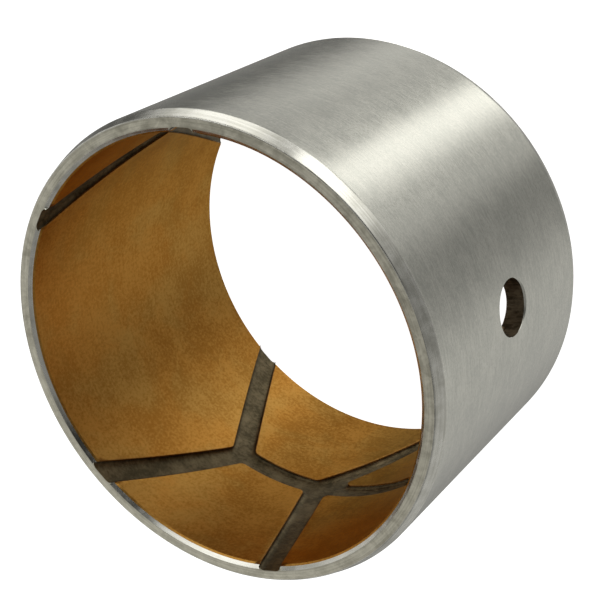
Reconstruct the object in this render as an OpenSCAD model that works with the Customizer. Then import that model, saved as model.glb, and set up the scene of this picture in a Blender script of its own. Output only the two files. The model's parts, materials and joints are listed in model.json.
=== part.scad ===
// Steel-backed bronze sleeve bushing.
// A plain bush pressed into a housing: a steel shell with a thin bronze lining bonded
// inside it. Oil grooves are cut through the bronze into the steel, so the lining is left
// as separate lands. The bush stands on its back face at z = 0 with its axis on +Z, and
// the oil hole points along +X. All lengths are in millimetres.

/* [Sleeve] */
// Outside diameter, the press fit in the housing
outside_d = 60; // [56:1:70]
// Whole wall, steel and bronze together
wall = 2.5; // [2.2:0.1:3.2]
// Length of the sleeve
sleeve_l = 40; // [36:1:60]
// Thickness of the bronze lining
lining_t = 0.2; // [0.15:0.05:0.4]

/* [Ends] */
// Length of the lead-in chamfer outside each end
lead_l = 1.6; // [0.8:0.1:2]
// Slope of the lead-in chamfer to the axis
lead_angle = 20; // [15:1:25]
// Chamfer at each end of the bore, at 45 degrees
bore_chamfer = 0.6; // [0.5:0.05:0.8]

/* [Oil] */
// Diameter of the oil hole through the wall
oil_hole_d = 7; // [4:0.5:8]
// Width of the oil grooves
groove_w = 3.1; // [2:0.1:3.6]
// Depth of the oil grooves below the bore surface
groove_depth = 0.7; // [0.6:0.05:1.2]
// Half the arc of the ring groove, from the oil hole to where it forks for the last time
fork_at = 121; // [118:1:124]
// Where the last fork's two grooves leave the ends of the bush
fork_end = 141.5; // [136:0.5:146]
// Angle from the oil hole to the first branch
branch_at = 95.5; // [93:0.5:98]
// Where the first branch leaves the front end
branch_front_end = 85; // [80:0.5:88]
// Where the first branch leaves the back end
branch_back_end = 68.5; // [64:0.5:80]

/* [Hidden] */
$fn = 180;

outside_r = outside_d / 2;
bore_r = outside_r - wall;
lining_r = bore_r + lining_t;
groove_r = bore_r + groove_depth;
mid_z = sleeve_l / 2;
lead_drop = lead_l * tan(lead_angle);
// How far the bore chamfer cuts into the steel behind the bronze
steel_chamfer = bore_chamfer - lining_t;
// Room that cutters take beyond the surfaces they cut
spare = 2;
inside_r = bore_r - spare;
// How far the ring groove runs into a fork, in degrees, so that no sliver stays between them
fork_overlap = 1;
// Half the arc of the widest zone of the bore, in degrees, with some to spare
zone_half_arc = 65;

steel = [0.66, 0.66, 0.63];
bronze = [0.66, 0.45, 0.19];

// Place, across the tangent plane at angle `from`, of a point on the bore at angle `at`
function across(at, from) = bore_r * sin(at - from);

// A flat shape (across, up) pushed outwards through the wall at one angle
module through_wall(at, low_r = inside_r) {
    rotate([0, 0, at]) translate([low_r, 0, 0]) rotate([90, 0, 90])
        linear_extrude(outside_r + spare - low_r) children();
}

// One straight groove, from the ring groove to a point past an end face
module branch_groove(at, end_at, end_z) {
    middle = (at + end_at) / 2;
    start = [across(at, middle), mid_z];
    run = [across(end_at, middle), end_z] - start;
    through_wall(middle)
        translate(start) rotate(atan2(run[1], run[0])) translate([0, -groove_w / 2])
            square([norm(run) + 2 * spare, groove_w]);
}

// The grooves on one side of the oil hole, the +Y side
module groove_side() {
    for (end_z = [0, sleeve_l]) branch_groove(fork_at, fork_end, end_z);
    branch_groove(branch_at, branch_front_end, sleeve_l);
    branch_groove(branch_at, branch_back_end, 0);
}

// The ring groove, from one last fork past the oil hole to the other
module ring_groove() {
    reach = fork_at + fork_overlap;
    rotate([0, 0, -reach]) rotate_extrude(angle = 2 * reach)
        translate([inside_r, mid_z - groove_w / 2])
            square([groove_r + spare - inside_r, groove_w]);
}

// Everything the oil grooves take away, down to one depth all round
module oil_grooves() {
    intersection() {
        translate([0, 0, -spare]) cylinder(r = groove_r, h = sleeve_l + 2 * spare);
        union() {
            ring_groove();
            groove_side();
            mirror([0, 1, 0]) groove_side();
        }
    }
}

module oil_hole() {
    rotate([0, 90, 0]) translate([-mid_z, 0, inside_r])
        cylinder(d = oil_hole_d, h = outside_r + spare - inside_r);
}

// The lining before the grooves are cut: a tube that thins to nothing over the chamfers
module lining_tube() {
    rotate_extrude()
        polygon([
            [bore_r, bore_chamfer],
            [lining_r, steel_chamfer],
            [lining_r, sleeve_l - steel_chamfer],
            [bore_r, sleeve_l - bore_chamfer]
        ]);
}

module grooved_lining() {
    difference() {
        lining_tube();
        oil_grooves();
        oil_hole();
    }
}

// The part of the wall inside an outline given as [angle, z] corners
module wall_within(middle, corners) {
    through_wall(middle, bore_r * cos(zone_half_arc))
        polygon([for (c = corners) [across(c[0], middle), c[1]]]);
}

// Round the plain side of the bore, between the last forks
module plain_zone() {
    wall_within(180, [
        [fork_at, mid_z], [fork_end, sleeve_l], [fork_end, sleeve_l + spare],
        [360 - fork_end, sleeve_l + spare], [360 - fork_end, sleeve_l], [360 - fork_at, mid_z],
        [360 - fork_end, 0], [360 - fork_end, -spare], [fork_end, -spare], [fork_end, 0]
    ]);
}

// Between the first branch and the last fork, towards the end face at end_z
module side_zone(branch_end, end_z, beyond_z) {
    wall_within((branch_at + fork_at) / 2, [
        [branch_at, mid_z], [branch_end, end_z], [branch_end, beyond_z],
        [fork_end, beyond_z], [fork_end, end_z], [fork_at, mid_z]
    ]);
}

module front_side_zone() {
    side_zone(branch_front_end, sleeve_l, sleeve_l + spare);
}

module back_side_zone() {
    side_zone(branch_back_end, 0, -spare);
}

// What is in front of the ring groove, or behind it
module front_half() {
    translate([0, 0, mid_z]) cylinder(r = outside_r, h = mid_z + spare);
}

module back_half() {
    translate([0, 0, -spare]) cylinder(r = outside_r, h = mid_z + spare);
}

// Steel shell: the outside, the end faces and the floor of the oil grooves
module steel_backing() {
    color(steel) difference() {
        rotate_extrude()
            polygon([
                [lining_r, steel_chamfer],
                [bore_r + bore_chamfer, 0],
                [outside_r - lead_drop, 0],
                [outside_r, lead_l],
                [outside_r, sleeve_l - lead_l],
                [outside_r - lead_drop, sleeve_l],
                [bore_r + bore_chamfer, sleeve_l],
                [lining_r, sleeve_l - steel_chamfer]
            ]);
        oil_grooves();
        oil_hole();
    }
}

// Bronze opposite the oil hole, running the whole length between the last forks
module plain_land() {
    color(bronze) intersection() {
        grooved_lining();
        plain_zone();
    }
}

// Bronze strip in front of the ring groove, on the oil hole's side
module front_long_land() {
    color(bronze) difference() {
        intersection() {
            grooved_lining();
            front_half();
        }
        plain_zone();
        front_side_zone();
        mirror([0, 1, 0]) front_side_zone();
    }
}

// Bronze strip behind the ring groove, on the oil hole's side
module back_long_land() {
    color(bronze) difference() {
        intersection() {
            grooved_lining();
            back_half();
        }
        plain_zone();
        back_side_zone();
        mirror([0, 1, 0]) back_side_zone();
    }
}

// Four lands between a first branch and a last fork
module front_land_left() {
    color(bronze) intersection() {
        grooved_lining();
        front_side_zone();
    }
}

module front_land_right() {
    color(bronze) intersection() {
        grooved_lining();
        mirror([0, 1, 0]) front_side_zone();
    }
}

module back_land_left() {
    color(bronze) intersection() {
        grooved_lining();
        back_side_zone();
    }
}

module back_land_right() {
    color(bronze) intersection() {
        grooved_lining();
        mirror([0, 1, 0]) back_side_zone();
    }
}

steel_backing();
plain_land();
front_long_land();
back_long_land();
front_land_left();
front_land_right();
back_land_left();
back_land_right();
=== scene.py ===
"""Looks of the steel-backed bronze sleeve bushing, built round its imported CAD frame.

The bush stands on its back end with its axis on +Z, and its oil hole points along +X. Sizes are
in millimetres here and become metres where a mesh is made. The bore is worked on unrolled: a
point is (distance round the bore from the oil hole, height), and wrap() puts it on a radius.
"""

import json
import math

import bmesh
import bpy
import numpy as np
from mathutils import Matrix, Vector
from mathutils.geometry import delaunay_2d_cdt


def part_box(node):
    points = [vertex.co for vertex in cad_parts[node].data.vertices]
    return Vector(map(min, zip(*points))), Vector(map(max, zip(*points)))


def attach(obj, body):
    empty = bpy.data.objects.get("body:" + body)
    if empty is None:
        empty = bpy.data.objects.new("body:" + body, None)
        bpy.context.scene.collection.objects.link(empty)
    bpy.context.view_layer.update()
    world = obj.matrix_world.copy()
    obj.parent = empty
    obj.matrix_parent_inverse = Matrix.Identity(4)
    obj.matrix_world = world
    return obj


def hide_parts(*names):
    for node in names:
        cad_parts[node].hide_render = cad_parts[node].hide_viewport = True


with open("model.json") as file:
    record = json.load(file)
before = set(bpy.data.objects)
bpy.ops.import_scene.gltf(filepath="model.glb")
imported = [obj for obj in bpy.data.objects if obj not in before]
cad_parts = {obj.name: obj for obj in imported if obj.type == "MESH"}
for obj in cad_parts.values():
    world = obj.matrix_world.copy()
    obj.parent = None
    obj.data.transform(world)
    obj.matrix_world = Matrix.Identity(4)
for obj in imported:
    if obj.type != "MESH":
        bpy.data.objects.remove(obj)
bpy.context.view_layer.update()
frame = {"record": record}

MM = 0.001


# ---------------------------------------------------------------- sizes, in millimetres

def mount_dims(name):
    """The sizes that the record gives for one mount."""
    mounts = {m["name"]: m for m in frame["record"]["mounts"]}
    return mounts[name]["dims"]


box_low, box_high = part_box("steel_backing")
OUTSIDE_R = mount_dims("outside")["r_mm"]
BORE_R = mount_dims("bore")["r_mm"]
HOLE_R = mount_dims("oil_hole")["r_mm"]
LENGTH = round((box_high.z - box_low.z) / MM, 3)
MID = LENGTH / 2

LINING_T = 0.2                 # bronze on the steel
LINING_R = BORE_R + LINING_T
GROOVE_DEPTH = 0.7             # below the bronze's surface
GROOVE_R = BORE_R + GROOVE_DEPTH
GROOVE_W = 3.1
GROOVE_FILLET = (0.75, 0.48)   # rounding of a groove's foot: across its floor, up its wall
BORE_CHAMFER = 0.6             # at 45 degrees
SEAT_CHAMFER = BORE_CHAMFER - LINING_T
LEAD_L = 1.6                   # lead-in chamfer outside each end
LEAD_SLOPE = math.tan(math.radians(20))
LEAD_DROP = LEAD_L * LEAD_SLOPE
LAND_EDGE = 0.1                # worn rounding along a land's edges
HOLE_FLARE = 0.22              # broken edge round the oil hole's mouth
RIM_EDGE = 0.12                # worn rounding at an end face's outer rim
# That rounding's points, in shares of RIM_EDGE: inwards from the corner, away from the end face
RIM_ROUND = [(1, 0), (0.45, 0.12), (0.08, 0.45), (-LEAD_SLOPE, 1)]
# Rounding where a lead-in chamfer meets the outside: depth below the outside, way past the chamfer
SHOULDER_ROUND = [(0.16 * LEAD_SLOPE, -0.16), (0.018, -0.03), (0, 0.12)]

STEP = 0.7                     # spacing of mesh points round the bore
SHORT = 1                      # a stretch shorter than this has one mesh point inside it
ROW_GAP = 0.6                  # from a crease or an end face to the first row of inner points
CLEAR = 0.12                   # inner points keep this far from an outline's points
LAND_ROWS = 14                 # rows of inner points along a land
FLOOR_ROWS = 56                # and along the groove floors
COLUMNS = 360                  # mesh points round the outside
OUTSIDE_ROWS = 9
OUTSIDE_GAP = 2                # from a lead-in chamfer to the first of those rows
HOLE_SIDES = 96
CUTTER_IN = 4                  # the oil hole's cutter starts this far inside the bore
CUTTER_OUT = 2                 # and ends this far outside the bush
HOLE_SLACK = 0.01              # faces up to this far outside the hole's radius are its wall
CORNER_STEPS = 6               # mesh steps round a land's corner
EDGE_STEPS = 3                 # over a land's edge
FOOT_STEPS = 5                 # up a groove's foot
CRISP = 30                     # degrees: edges sharper than this stay sharp
WELD = 0.002                   # points closer than this become one
SLIVER = 0.0005                # edges shorter than this are dissolved
STORED = 1e-4                  # heights read back from a mesh are right to within this
TINY = 1e-6

# Material slots of the steel, and of the bronze
OUTSIDE, END_FACE, GROOVE, HOLE, CHAMFER = range(5)
SATIN, EDGE, HOLE_WALL = range(3)

# Where the grooves meet each other and the end faces: degrees from the oil hole, height
RING_BRANCH = (95.5, MID)
RING_FORK = (121.0, MID)
BRANCH_FRONT = (85.0, LENGTH)
BRANCH_BACK = (68.5, 0.0)
FORK_FRONT = (141.5, LENGTH)
FORK_BACK = (141.5, 0.0)


def mirrored(corners):
    """The same outline on the other side of the oil hole."""
    return [(-angle, z) for angle, z in reversed(corners)]


def other(corner):
    """A corner mirrored across the oil hole."""
    return (-corner[0], corner[1])


def behind(corner):
    """A corner mirrored across the line opposite the oil hole."""
    return (360 - corner[0], corner[1])


FRONT_SIDE = [RING_BRANCH, RING_FORK, FORK_FRONT, BRANCH_FRONT]
BACK_SIDE = [BRANCH_BACK, FORK_BACK, RING_FORK, RING_BRANCH]
# The lands of the lining, each by the groove junctions round it, anticlockwise when unrolled
LANDS = {
    "plain_land": [
        FORK_BACK, behind(FORK_BACK), behind(RING_FORK), behind(FORK_FRONT), FORK_FRONT, RING_FORK,
    ],
    "front_long_land": [other(RING_BRANCH), RING_BRANCH, BRANCH_FRONT, other(BRANCH_FRONT)],
    "back_long_land": [other(BRANCH_BACK), BRANCH_BACK, RING_BRANCH, other(RING_BRANCH)],
    "front_land_left": FRONT_SIDE,
    "front_land_right": mirrored(FRONT_SIDE),
    "back_land_left": BACK_SIDE,
    "back_land_right": mirrored(BACK_SIDE),
}
HOLED_LANDS = ("front_long_land", "back_long_land")
# How much a land's corner is rounded where two grooves meet at it
CORNER_R = {RING_BRANCH: 0.8, RING_FORK: 1.0}


# ---------------------------------------------------------------- the unrolled bore

def wrap(s, z, r):
    """A point of the unrolled bore on radius r, in metres."""
    angle = s / BORE_R
    return (r * math.cos(angle) * MM, r * math.sin(angle) * MM, z * MM)


def from_end(z):
    """Distance from the nearer end face."""
    return min(z, LENGTH - z)


def bore_surface(z):
    """Radius of the bronze's surface, which opens out at the bore chamfers."""
    return BORE_R + max(0.0, BORE_CHAMFER - from_end(z))


def seat_surface(z):
    """Radius of the steel behind the bronze, with its part of the bore chamfers."""
    return LINING_R + max(0.0, SEAT_CHAMFER - from_end(z))


def crossing(side_a, side_b):
    """Where two lines, each a point and a direction, cross."""
    (p, along), (q, other_way) = side_a, side_b
    gap = q - p
    return p + along * (gap.cross(other_way) / along.cross(other_way))


def unrolled(corner):
    """A corner as a point of the unrolled bore."""
    return Vector((math.radians(corner[0]) * BORE_R, corner[1]))


def at_end(p, q):
    """True for a side that lies along an end face."""
    return p.y == q.y and p.y in (0.0, LENGTH)


def corner_points(before, after, radius):
    """A corner's points: one where it is sharp, or an arc of this radius."""
    point = crossing(before, after)
    if radius <= 0:
        return [point]
    turn = before[1].angle(after[1])
    reach = radius * math.tan(turn / 2)
    start = point - before[1] * reach
    inward = Vector((-before[1].y, before[1].x))
    centre = start + inward * radius
    arc = []
    for i in range(CORNER_STEPS + 1):
        spin = Matrix.Rotation(turn * i / CORNER_STEPS, 2)
        arc.append(centre + spin @ (start - centre))
    return arc


def stretch(start, end, count):
    """Evenly spaced points after start and before end."""
    return [start.lerp(end, i / count) for i in range(1, count)]


def outline(corners, inset, end_gap, crease):
    """A land's closed outline in the unrolled bore, moved inwards by inset from its grooves.

    It stops end_gap short of the end faces, and has a point on each side where it crosses the
    crease, a line that far from an end face. The number of points doesn't depend on inset.
    """
    flat = [unrolled(c) for c in corners]
    sides = []
    for p, q in zip(flat, flat[1:] + flat[:1]):
        along = (q - p).normalized()
        inward = Vector((-along.y, along.x))
        shift = end_gap if at_end(p, q) else GROOVE_W / 2 + inset
        sides.append((p + inward * shift, along))
    bends = []
    for i, corner in enumerate(corners):
        angle = abs(corner[0]) if abs(corner[0]) < 180 else 360 - corner[0]
        place = (angle, corner[1])
        radius = CORNER_R[place] - inset if place in CORNER_R else 0
        bends.append(corner_points(sides[i - 1], sides[i], radius))
    points = []
    for i, bend in enumerate(bends):
        points += bend
        start, end = bend[-1], bends[(i + 1) % len(bends)][0]
        p, q = flat[i], flat[(i + 1) % len(flat)]
        count = math.ceil((q - p).length / STEP)
        stops = [start]
        for point in (start, end):
            if from_end(point.y) <= end_gap + TINY and not at_end(p, q):
                height = crease if point.y < MID else LENGTH - crease
                stops.append(start.lerp(end, (height - start.y) / (end.y - start.y)))
        stops.append(end)
        for a, b in zip(stops, stops[1:]):
            points += stretch(a, b, 2 if (b - a).length < SHORT else count)
            if b is not end:
                points.append(b)
    return points


def inside(points, loop):
    """Which of these points are inside a convex anticlockwise loop."""
    loop = np.array(loop, float)
    sides = np.roll(loop, -1, axis=0) - loop
    gaps = points[:, None, :] - loop[None, :, :]
    turns = sides[None, :, 0] * gaps[:, :, 1] - sides[None, :, 1] * gaps[:, :, 0]
    return np.all(turns > 0, axis=1)


def near(points, loop, reach):
    """Which of these points are closer than reach to a loop's points."""
    gaps = points[:, None, :] - np.array(loop, float)[None, :, :]
    return np.any(np.sum(gaps * gaps, axis=2) < reach * reach, axis=1)


def triangulate(loops, keep, heights):
    """Triangles over the unrolled region where keep() holds, bounded by these loops.

    Rows of inner points at these heights make the triangles follow the curve of the bore.
    """
    every = np.array([p for loop in loops for p in loop], float)
    low, high = every[:, 0].min(), every[:, 0].max()
    across = np.linspace(low, high, math.ceil((high - low) / STEP))
    inner = np.array([(s, z) for z in heights for s in across])
    inner = inner[keep(inner)]
    for loop in loops:
        inner = inner[~near(inner, loop, CLEAR)]
    points, edges = [], []
    for loop in loops:
        first = len(points)
        points += [Vector(p) for p in loop]
        edges += [(first + i, first + (i + 1) % len(loop)) for i in range(len(loop))]
    points += [Vector(p) for p in inner]
    out_points, _, faces, *_ = delaunay_2d_cdt(points, edges, [], 0, 1e-5)
    out = np.array([tuple(p) for p in out_points], float)
    middles = np.array([out[list(f)].mean(axis=0) for f in faces])
    kept = [f for f, good in zip(faces, keep(middles)) if good]
    return out, kept


def row_heights(crease):
    """Heights of the rows of inner points between two creases, and of the creases themselves."""
    between = np.linspace(crease + ROW_GAP, LENGTH - crease - ROW_GAP, LAND_ROWS)
    return [crease, *between, LENGTH - crease]


def circle(radius, z):
    """A row of points round the bush's axis, in metres."""
    turns = [2 * math.pi * i / COLUMNS for i in range(COLUMNS)]
    return [(radius * math.cos(t) * MM, radius * math.sin(t) * MM, z * MM) for t in turns]


def quarter(count):
    """Angles from 0 to a quarter turn, in even steps."""
    return [math.pi / 2 * i / count for i in range(count + 1)]


# ---------------------------------------------------------------- mesh building

class Skin:
    """Gathers the faces of one piece, then makes its object."""

    def __init__(self):
        self.points, self.faces, self.marks = [], [], []

    def add(self, points, faces, mark):
        """Adds faces over these points, all in one material slot."""
        first = len(self.points)
        self.points += points
        self.faces += [tuple(first + i for i in f) for f in faces]
        self.marks += [mark] * len(faces)

    def strips(self, rows, mark):
        """Quads between closed rows of points. A quad that lies in an end face is left out."""
        n = len(rows[0])
        points = [p for row in rows for p in row]
        faces = []
        for j in range(len(rows) - 1):
            for i in range(n):
                after = (i + 1) % n
                quad = [j * n + i, j * n + after, (j + 1) * n + after, (j + 1) * n + i]
                heights = [points[k][2] / MM for k in quad]
                if all(h < TINY for h in heights) or all(h > LENGTH - TINY for h in heights):
                    continue
                faces.append(quad)
        self.add(points, faces, mark)

    def sheet(self, flat, faces, surface, mark):
        """An unrolled triangulation, put on the radius that surface(height) gives."""
        self.add([wrap(s, z, surface(z)) for s, z in flat], faces, mark)

    def build(self, name, materials, close_ends=None):
        """Makes the object. close_ends is the material slot for faces that close both ends."""
        mesh = bpy.data.meshes.new(name)
        mesh.from_pydata(self.points, [], self.faces)
        for material in materials:
            mesh.materials.append(material)
        mesh.polygons.foreach_set("material_index", self.marks)
        bm = bmesh.new()
        bm.from_mesh(mesh)
        bmesh.ops.remove_doubles(bm, verts=bm.verts, dist=WELD * MM)
        bmesh.ops.dissolve_degenerate(bm, edges=bm.edges, dist=SLIVER * MM)
        if close_ends is not None:
            for height in (0, LENGTH):
                self.close(bm, height, close_ends)
        loose = [v for v in bm.verts if not v.link_faces]
        bmesh.ops.delete(bm, geom=loose, context="VERTS")
        bmesh.ops.recalc_face_normals(bm, faces=bm.faces)
        bm.to_mesh(mesh)
        bm.free()
        obj = bpy.data.objects.new(name, mesh)
        bpy.context.scene.collection.objects.link(obj)
        return obj

    @staticmethod
    def close(bm, height, mark):
        """Fills the ring between the open rims at one height."""
        rim = [
            e for e in bm.edges
            if e.is_boundary and all(abs(v.co.z / MM - height) < STORED for v in e.verts)
        ]
        made = bmesh.ops.triangle_fill(bm, edges=rim, use_beauty=True)
        for face in made["geom"]:
            if isinstance(face, bmesh.types.BMFace):
                face.material_index = mark


def smooth(obj):
    """Smooth shading that keeps sharp edges crisp."""
    for polygon in obj.data.polygons:
        polygon.use_smooth = True
    obj.data.set_sharp_from_angle(angle=math.radians(CRISP))
    weighted = obj.modifiers.new("weighted", "WEIGHTED_NORMAL")
    weighted.keep_sharp = True


# ---------------------------------------------------------------- materials

class Shader:
    """One metal material's nodes, made by short calls."""

    def __init__(self, name):
        self.material = bpy.data.materials.new(name)
        self.material.use_nodes = True
        self.tree = self.material.node_tree
        self.surface = self.tree.nodes["Principled BSDF"]
        self.surface.inputs["Metallic"].default_value = 1

    def node(self, kind, inputs=(), **settings):
        """A new node. Each input is a value, or a socket to link."""
        made = self.tree.nodes.new("ShaderNode" + kind)
        for key, value in settings.items():
            setattr(made, key, value)
        for key, value in dict(inputs).items():
            if isinstance(value, bpy.types.NodeSocket):
                self.tree.links.new(value, made.inputs[key])
            else:
                made.inputs[key].default_value = value
        return made

    def math(self, operation, first, second=0.0):
        """The result of one step of arithmetic on numbers or sockets."""
        return self.node("Math", {0: first, 1: second}, operation=operation).outputs[0]

    def place(self, scale):
        """Object coordinates, stretched by a scale for each axis in waves per metre."""
        where = self.node("TexCoord").outputs["Object"]
        return self.node("Mapping", {"Vector": where, "Scale": scale}).outputs["Vector"]

    def radius(self):
        """Distance from the bush's axis, in metres."""
        where = self.node("TexCoord").outputs["Object"]
        flat = self.node("VectorMath", {0: where, 1: (1, 1, 0)}, operation="MULTIPLY")
        return self.node("VectorMath", {0: flat.outputs[0]}, operation="LENGTH").outputs["Value"]

    def rings(self, along, across):
        """A place on an end face, for marks 1/along metres long and 1/across wide round it."""
        parts = self.node("SeparateXYZ", {0: self.place((along, along, along))})
        spread = self.math("MULTIPLY", self.radius(), across)
        return self.node("CombineXYZ", {
            "X": parts.outputs["X"], "Y": parts.outputs["Y"], "Z": spread,
        }).outputs[0]

    def noise(self, scale, detail=3.0, rough=0.5, distortion=0.0):
        """Noise from 0 to 1 at a place, or whose grain is 1/scale metres along each axis."""
        made = self.node("TexNoise", {
            "Vector": self.place(scale) if isinstance(scale, tuple) else scale,
            "Scale": 1.0,
            "Detail": detail,
            "Roughness": rough,
            "Distortion": distortion,
        })
        return made.outputs["Fac"]

    def near(self, value, target, reach):
        """1 where the value is at the target, down to 0 where it is reach away."""
        gap = self.math("ABSOLUTE", self.math("SUBTRACT", value, target))
        return self.band(gap, 0, reach, 1, 0)

    def band(self, value, low, high, to_low=0.0, to_high=1.0):
        """The value mapped from low..high to to_low..to_high, smoothly and within them."""
        made = self.node("MapRange", {
            "Value": value, "From Min": low, "From Max": high, "To Min": to_low, "To Max": to_high,
        }, interpolation_type="SMOOTHSTEP")
        return made.outputs["Result"]

    def mix(self, share, first, second):
        """Two colours, or sockets that give them, mixed by a socket whose share is from 0 to 1."""
        made = self.node("Mix", data_type="RGBA")
        # A mix node's colours are its sockets 6 and 7, and its mixed colour is output 2
        for index, value in ((0, share), (6, first), (7, second)):
            socket = made.inputs[index]
            if isinstance(value, bpy.types.NodeSocket):
                self.tree.links.new(value, socket)
            else:
                socket.default_value = (*value, 1)
        return made.outputs[2]

    def tint(self, colour, by):
        """One colour multiplied by another."""
        return self.node("VectorMath", {0: colour, 1: by}, operation="MULTIPLY").outputs[0]

    def weigh(self, *terms):
        """Adds sockets, each with its weight."""
        parts = [self.math("MULTIPLY", socket, weight) for socket, weight in terms]
        total = parts[0]
        for part in parts[1:]:
            total = self.math("ADD", total, part)
        return total

    def brushed(self, amount):
        """Highlights drawn out along the bush's axis, across the lines that run round it."""
        self.surface.inputs["Anisotropic"].default_value = amount
        self.surface.inputs["Anisotropic Rotation"].default_value = 0.25
        tangent = self.node("Tangent", direction_type="RADIAL", axis="Z")
        self.tree.links.new(tangent.outputs["Tangent"], self.surface.inputs["Tangent"])

    def finish(self, colour, rough, relief, depth):
        """Links the colour, the roughness and the bump, whose relief is depth metres deep."""
        self.tree.links.new(colour, self.surface.inputs["Base Color"])
        self.tree.links.new(rough, self.surface.inputs["Roughness"])
        bump = self.node("Bump", {"Height": relief, "Distance": depth, "Strength": 1.0})
        self.tree.links.new(bump.outputs["Normal"], self.surface.inputs["Normal"])
        return self.material


def turned_steel():
    """The outside: fine lines round it, and a faint cloudiness."""
    s = Shader("turned_steel")
    lines = s.noise((420, 420, 6000), detail=5, rough=0.62)
    grain = s.noise((2600, 2600, 3600), detail=3, rough=0.6)
    mottle = s.noise((360, 360, 520), detail=6, rough=0.66)
    clouds = s.noise((75, 75, 110), detail=4, rough=0.55)
    shade = s.weigh((lines, 0.34), (grain, 0.28), (mottle, 0.24), (clouds, 0.14))
    colour = s.mix(s.band(shade, 0.38, 0.62), (0.545, 0.55, 0.50), (0.715, 0.71, 0.645))
    wear = s.weigh((lines, 0.3), (grain, 0.3), (mottle, 0.4))
    rough = s.band(wear, 0.34, 0.66, 0.21, 0.27)
    s.brushed(0.6)
    return s.finish(colour, rough, s.weigh((lines, 0.6), (grain, 0.4)), 0.004 * MM)


def ground_steel():
    """The end faces: dull, mottled, a little stained, and darkened by painted shade at both edges.
    """
    s = Shader("ground_steel")
    rings = s.noise(s.rings(110, 5200), detail=4, rough=0.6)
    mottle = s.noise((520, 520, 520), detail=6, rough=0.68, distortion=0.5)
    blotches = s.noise((230, 230, 230), detail=5, rough=0.7, distortion=1.4)
    relief = s.weigh((rings, 0.4), (mottle, 0.6))
    bright = s.mix(s.band(relief, 0.36, 0.64), (0.52, 0.50, 0.405), (0.86, 0.83, 0.70))
    stains = s.math("MULTIPLY", s.band(blotches, 0.50, 0.64), 0.26)
    stained = s.mix(stains, bright, (0.25, 0.23, 0.17))
    # Painted shade: the face is mixed towards a dark colour near its outer edge and near the
    # bore's chamfer
    painted_rim_shade = s.weigh(
        (s.near(s.radius(), (OUTSIDE_R - LEAD_DROP) * MM, 0.45 * MM), 0.10),
        (s.near(s.radius(), (BORE_R + BORE_CHAMFER) * MM, 0.35 * MM), 0.16),
    )
    colour = s.mix(painted_rim_shade, stained, (0.20, 0.185, 0.15))
    rough = s.band(mottle, 0.3, 0.7, 0.28, 0.46)
    return s.finish(colour, rough, relief, 0.020 * MM)


def chamfer_steel():
    """The chamfers, the upper walls of the grooves and the seats under the lands: cut bright."""
    s = Shader("chamfer_steel")
    lines = s.noise((90, 90, 5200), detail=4, rough=0.6)
    mottle = s.noise((430, 430, 430), detail=6, rough=0.66)
    shade = s.weigh((lines, 0.4), (mottle, 0.6))
    colour = s.mix(s.band(shade, 0.35, 0.65), (0.54, 0.535, 0.48), (0.84, 0.835, 0.78))
    rough = s.band(mottle, 0.3, 0.7, 0.20, 0.30)
    s.brushed(0.7)
    return s.finish(colour, rough, shade, 0.008 * MM)


def groove_steel():
    """The floors and feet of the oil grooves: rough, and made dark by painted shade."""
    s = Shader("groove_steel")
    marks = s.noise((1500, 1500, 2300), detail=5, rough=0.7)
    floor_blotches = s.noise((330, 330, 330), detail=5, rough=0.62)
    shade = s.band(s.weigh((marks, 0.5), (floor_blotches, 0.5)), 0.37, 0.64)
    # Painted shade: colours far darker than the other steel stand in for the shade down in the
    # grooves
    colour = s.mix(shade, (0.07, 0.056, 0.030), (0.24, 0.192, 0.112))
    rough = s.band(marks, 0.3, 0.7, 0.42, 0.62)
    return s.finish(colour, rough, marks, 0.05 * MM)


def hole_steel():
    """The wall of the oil hole: the darkest, from painted shade, with brownish blotches."""
    s = Shader("hole_steel")
    hole_blotches = s.noise((900, 900, 900), detail=6, rough=0.72)
    marks = s.noise((600, 2600, 2600), detail=4, rough=0.65)
    shade = s.weigh((hole_blotches, 0.6), (marks, 0.4))
    # Painted shade: near-black to dark brown colours stand in for the shade inside the hole
    colour = s.mix(s.band(shade, 0.38, 0.62), (0.045, 0.032, 0.018), (0.22, 0.175, 0.115))
    rough = s.band(hole_blotches, 0.3, 0.7, 0.5, 0.75)
    return s.finish(colour, rough, shade, 0.08 * MM)


def bronze(name, dark, light, rough_low, rough_high):
    """Satin lining metal between two tones, with patches that lean to red or to grey."""
    s = Shader(name)
    s.surface.inputs["Specular Tint"].default_value = (0.88, 0.74, 0.53, 1)
    grain = s.noise((2400, 2400, 2400), detail=4, rough=0.65)
    lines = s.noise((160, 160, 3000), detail=4, rough=0.6)
    mottle = s.noise((150, 150, 150), detail=6, rough=0.62)
    patches = s.noise((95, 95, 95), detail=4, rough=0.55, distortion=0.6)
    shade = s.weigh((grain, 0.46), (lines, 0.14), (mottle, 0.40))
    plain = s.mix(s.band(shade, 0.40, 0.60), dark, light)
    tinted = s.mix(s.band(patches, 0.42, 0.60), (1.0, 0.95, 0.88), (0.98, 1.03, 1.10))
    wear = s.weigh((grain, 0.5), (mottle, 0.5))
    rough = s.band(wear, 0.35, 0.65, rough_low, rough_high)
    relief = s.weigh((grain, 0.7), (lines, 0.3))
    return s.finish(s.tint(plain, tinted), rough, relief, 0.014 * MM)


# ---------------------------------------------------------------- pieces

def groove_foot():
    """(inset, rise) along the rounded foot of a groove's wall, from its floor up."""
    across, up = GROOVE_FILLET
    turns = quarter(FOOT_STEPS)
    return [(across * (math.sin(t) - 1), up * (1 - math.cos(t))) for t in turns]


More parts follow.
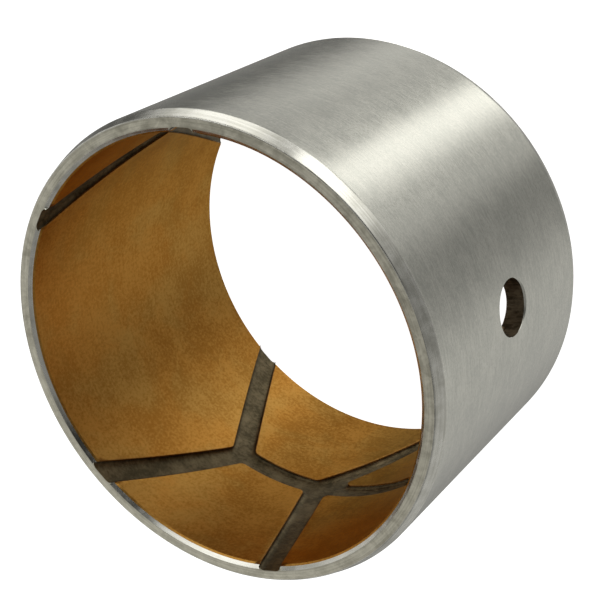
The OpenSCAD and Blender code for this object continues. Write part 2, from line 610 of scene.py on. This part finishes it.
def steel_piece():
    """The steel shell, without its end faces and its oil hole."""
    skin = Skin()
    rim = OUTSIDE_R - LEAD_DROP
    profile = [(rim - inwards * RIM_EDGE, back * RIM_EDGE) for inwards, back in RIM_ROUND]
    profile += [(OUTSIDE_R - depth, LEAD_L + past) for depth, past in SHOULDER_ROUND]
    straight = np.linspace(LEAD_L + OUTSIDE_GAP, LENGTH - LEAD_L - OUTSIDE_GAP, OUTSIDE_ROWS)
    rows = profile + [(OUTSIDE_R, z) for z in straight]
    rows += [(r, LENGTH - z) for r, z in reversed(profile)]
    rings = [circle(r, z) for r, z in rows]
    lead = len(profile) - 2        # the profile's last strip belongs to the outside already
    skin.strips(rings[:lead + 1], CHAMFER)
    skin.strips(rings[lead:-lead], OUTSIDE)
    skin.strips(rings[-lead - 1:], CHAMFER)
    feet = []
    for corners in LANDS.values():
        rows = []
        for inset, rise in groove_foot():
            foot = outline(corners, inset, 0, SEAT_CHAMFER)
            rows.append([wrap(s, z, GROOVE_R - rise) for s, z in foot])
        top = outline(corners, 0, 0, SEAT_CHAMFER)
        skin.strips(rows, GROOVE)
        skin.strips([rows[-1], [wrap(s, z, seat_surface(z)) for s, z in top]], CHAMFER)
        flat, faces = triangulate([top], lambda p: inside(p, top), row_heights(SEAT_CHAMFER))
        skin.sheet(flat, faces, seat_surface, CHAMFER)
        feet.append(outline(corners, -GROOVE_FILLET[0], 0, SEAT_CHAMFER))
    turn = Vector((math.tau * BORE_R, 0))
    feet.append([p - turn for p in feet[0]])

    def in_groove(points):
        """Which points are in a groove, on one full turn of the bore."""
        one_turn = np.abs(points[:, 0]) < math.pi * BORE_R
        return one_turn & ~np.any([inside(points, foot) for foot in feet], axis=0)

    heights = np.linspace(ROW_GAP, LENGTH - ROW_GAP, FLOOR_ROWS)
    flat, faces = triangulate(feet, in_groove, heights)
    skin.sheet(flat, faces, lambda z: GROOVE_R, GROOVE)
    return skin


def land_piece(corners):
    """One land of the lining, without the oil hole."""
    skin = Skin()
    back = outline(corners, 0, SEAT_CHAMFER, BORE_CHAMFER)
    rows = [[wrap(s, z, LINING_R) for s, z in back]]
    for t in quarter(EDGE_STEPS):
        inset, drop = LAND_EDGE * (1 - math.cos(t)), LAND_EDGE * (1 - math.sin(t))
        top = outline(corners, inset, SEAT_CHAMFER, BORE_CHAMFER)
        rows.append([wrap(s, z, min(LINING_R, bore_surface(z) + drop)) for s, z in top])
    skin.strips(rows, EDGE)
    heights = row_heights(BORE_CHAMFER)
    flat, faces = triangulate([top], lambda p: inside(p, top), heights)
    skin.sheet(flat, faces, bore_surface, SATIN)
    flat, faces = triangulate([back], lambda p: inside(p, back), heights)
    skin.sheet(flat, faces, lambda z: LINING_R, SATIN)
    return skin


def hole_ring(x, wider):
    """A row of points round the oil hole's axis, in metres."""
    turns = [math.tau * i / HOLE_SIDES for i in range(HOLE_SIDES)]
    r = HOLE_R + wider
    return [(x * MM, r * math.cos(t) * MM, (MID + r * math.sin(t)) * MM) for t in turns]


def cut_oil_hole(obj, wall_mark):
    """Cuts the oil hole through a piece and gives its wall a material slot."""
    profile = [
        (BORE_R - CUTTER_IN, 0),
        (OUTSIDE_R - HOLE_FLARE, 0),
        (OUTSIDE_R, HOLE_FLARE),
        (OUTSIDE_R + CUTTER_OUT, HOLE_FLARE),
    ]
    skin = Skin()
    skin.strips([hole_ring(x, wider) for x, wider in profile], 0)
    last = len(skin.points) - HOLE_SIDES
    skin.faces += [tuple(range(HOLE_SIDES)), tuple(range(last, last + HOLE_SIDES))]
    skin.marks += [0, 0]
    cutter = skin.build("cutter", [])
    cut = obj.modifiers.new("hole", "BOOLEAN")
    cut.operation = "DIFFERENCE"
    cut.solver = "EXACT"
    cut.object = cutter
    view = bpy.context.evaluated_depsgraph_get()
    mesh = bpy.data.meshes.new_from_object(obj.evaluated_get(view))
    obj.modifiers.clear()
    obj.data = mesh
    bpy.data.objects.remove(cutter)
    for face in mesh.polygons:
        x, y, z = face.center / MM
        if x > 0 and math.hypot(y, z - MID) < HOLE_R + HOLE_SLACK:
            face.material_index = wall_mark


STEELS = [turned_steel(), ground_steel(), groove_steel(), hole_steel(), chamfer_steel()]
BRONZES = [
    bronze("satin_bronze", (0.385, 0.173, 0.030), (0.55, 0.285, 0.064), 0.33, 0.43),
    # The lands' rounded edges: a darker copy of the satin bronze, painted shade along them
    bronze("edge_bronze", (0.30, 0.14, 0.035), (0.46, 0.235, 0.075), 0.38, 0.50),
    STEELS[HOLE],
]

steel = steel_piece().build("steel_shell", STEELS, close_ends=END_FACE)
cut_oil_hole(steel, HOLE)
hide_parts("steel_backing")
pieces = [steel]
for name, corners in LANDS.items():
    piece = land_piece(corners).build(name + "_bronze", BRONZES)
    if name in HOLED_LANDS:
        cut_oil_hole(piece, HOLE_WALL)
    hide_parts(name)
    pieces.append(piece)
for piece in pieces:
    smooth(piece)
    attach(piece, "root")


# ---------------------------------------------------------------- camera and floor

CAMERA_AT = Vector((98.9, 56.8, 159.7))
AIM = Vector((2.5, 1.3, 23.4))
ROLL = -124.4
FLOOR_HALF = 4.0               # metres

optics = bpy.data.cameras.new("camera")
optics.lens = 84
optics.sensor_width = 36
optics.clip_start = 0.01
camera = bpy.data.objects.new("camera", optics)
bpy.context.scene.collection.objects.link(camera)
facing = (AIM - CAMERA_AT).to_track_quat("-Z", "Y").to_matrix().to_4x4()
roll = Matrix.Rotation(math.radians(ROLL), 4, "Z")
camera.matrix_world = Matrix.Translation(CAMERA_AT * MM) @ facing @ roll
bpy.context.scene.camera = camera

# A white floor that glows, so no shadow shows on it. The light from below goes through it, and
# the bush doesn't mirror it.
white = bpy.data.materials.new("floor")
white.use_nodes = True
glow = white.node_tree.nodes["Principled BSDF"].inputs
glow["Emission Color"].default_value = (1, 1, 1, 1)
glow["Emission Strength"].default_value = 1.0
quarters = [(-1, -1), (1, -1), (1, 1), (-1, 1)]
floor_corners = [(FLOOR_HALF * x, FLOOR_HALF * y, 0) for x, y in quarters]
floor_mesh = bpy.data.meshes.new("floor")
floor_mesh.from_pydata(floor_corners, [], [(0, 1, 2, 3)])
floor_mesh.materials.append(white)
floor = bpy.data.objects.new("floor", floor_mesh)
bpy.context.scene.collection.objects.link(floor)
floor.visible_glossy = False
floor.visible_shadow = False


# ---------------------------------------------------------------- light

class Studio:
    """The studio round the bush: a plain grey surround with soft boxes and black cards in it."""

    def __init__(self, grey):
        world = bpy.data.worlds.new("studio")
        bpy.context.scene.world = world
        world.use_nodes = True
        self.tree = world.node_tree
        self.background = self.tree.nodes["Background"]
        self.background.inputs["Color"].default_value = (1.0, 0.99, 0.955, 1)
        parts = self.tree.nodes.new("ShaderNodeSeparateXYZ")
        way = self.tree.nodes.new("ShaderNodeTexCoord").outputs["Generated"]
        self.tree.links.new(way, parts.inputs[0])
        turn = self.math("ARCTAN2", parts.outputs["Y"], parts.outputs["X"])
        self.azimuth = self.math("DEGREES", turn)
        self.elevation = self.math("DEGREES", self.math("ARCSINE", parts.outputs["Z"]))
        self.total = grey

    def math(self, operation, *values):
        """The result of one step of arithmetic on numbers or sockets."""
        made = self.tree.nodes.new("ShaderNodeMath")
        made.operation = operation
        for socket, value in zip(made.inputs, values):
            if isinstance(value, bpy.types.NodeSocket):
                self.tree.links.new(value, socket)
            else:
                socket.default_value = value
        return made.outputs[0]

    def ramp(self, value, dark, bright):
        """0 at dark, 1 at bright, and smooth between them."""
        made = self.tree.nodes.new("ShaderNodeMapRange")
        made.interpolation_type = "SMOOTHSTEP"
        self.tree.links.new(value, made.inputs["Value"])
        made.inputs["From Min"].default_value = dark
        made.inputs["From Max"].default_value = bright
        return made.outputs["Result"]

    def box(self, start, end, bottom, top, strength, soft=(6, 6), fade=12):
        """A soft box between two azimuths and two elevations, in degrees.

        soft is half the width of its blurred edge at start and at end, and fade at its other
        edges. A negative strength is a black card, which takes light away.
        """
        middle, half = (start + end) / 2, (end - start) / 2
        turn = self.math("WRAP", self.math("SUBTRACT", self.azimuth, middle), 180, -180)
        edges = [
            self.ramp(turn, -half - soft[0], -half + soft[0]),
            self.ramp(turn, half + soft[1], half - soft[1]),
            self.ramp(self.elevation, bottom - fade, bottom + fade),
            self.ramp(self.elevation, top + fade, top - fade),
        ]
        for edge in edges:
            strength = self.math("MULTIPLY", edge, strength)
        self.total = self.math("ADD", self.total, strength)

    def light(self):
        """Gives the world the light of all the boxes."""
        self.tree.links.new(self.total, self.background.inputs["Strength"])


# Seen from the camera, the barrel mirrors elevations near -57, the bronze those near -45, the
# lead-in chamfer -16 to -40 and the end face those near 45
studio = Studio(0.085)
# The pale table, and a weak box low on the oil hole's side
studio.box(-190, 142, -120, -14, 0.17, soft=(16, 12))
studio.box(-100, -22, -120, -10, 0.27, soft=(28, 20))
# The key, a wider glow beside it, and a hotter part that the lead-in chamfer mirrors
studio.box(54, 76, -120, 28, 1.22, soft=(12, 1.5))
studio.box(22, 76, -120, 12, 0.33, soft=(14, 1.5))
studio.box(38, 69, -30, 8, 0.75, soft=(6, 5))
# Weaker boxes beside the key, mostly for the barrel
studio.box(76, 141, -120, -44, 0.28, soft=(1.5, 14), fade=8)
studio.box(113, 129, -120, -53, 0.36, soft=(10, 10), fade=5)
studio.box(146, 190, -120, -40, 0.035, soft=(10, 10))
# Low strips, mostly for the lead-in chamfer
studio.box(82, 134, -32, -8, 0.95, soft=(10, 10), fade=7)
studio.box(93, 121, -32, -12, 0.62, soft=(6, 5), fade=7)
# Mostly for the end face
studio.box(150, 240, 0, 75, 0.17, soft=(20, 20))
studio.box(150, 245, 10, 48, 0.23, soft=(20, 20), fade=5)
studio.box(-150, -100, 10, 50, 0.11, soft=(10, 14), fade=8)
# For the bore's chamfer and the worn rims: bright, grey and weak boxes, and a black card
studio.box(82, 138, 24, 44, 1.7, soft=(6, 8), fade=6)
studio.box(138, 215, -12, 20, 0.45, soft=(12, 15), fade=8)
studio.box(-120, 8, -10, 56, 0.20, soft=(20, 12), fade=8)
studio.box(12, 76, 38, 62, -0.06, soft=(8, 6), fade=7)
# A box overhead
studio.box(-200, 200, 76, 120, 0.50, fade=7)
# Mostly for the bronze: black cards in front of the key and beside it, and two small boxes
studio.box(49, 73, -48, -28, -1.05, soft=(8, 5), fade=4)
studio.box(56, 71, -47, -34, -0.30, soft=(6, 4), fade=3)
studio.box(98, 120, -53, -45, -0.26, soft=(8, 8), fade=3)
studio.box(76, 90, -50, -41, 0.42, soft=(3, 8), fade=3)
studio.box(-45, 12, -48, -34, 0.24, soft=(14, 14), fade=5)
studio.light()
bpy.context.scene.view_settings.view_transform = "Standard"
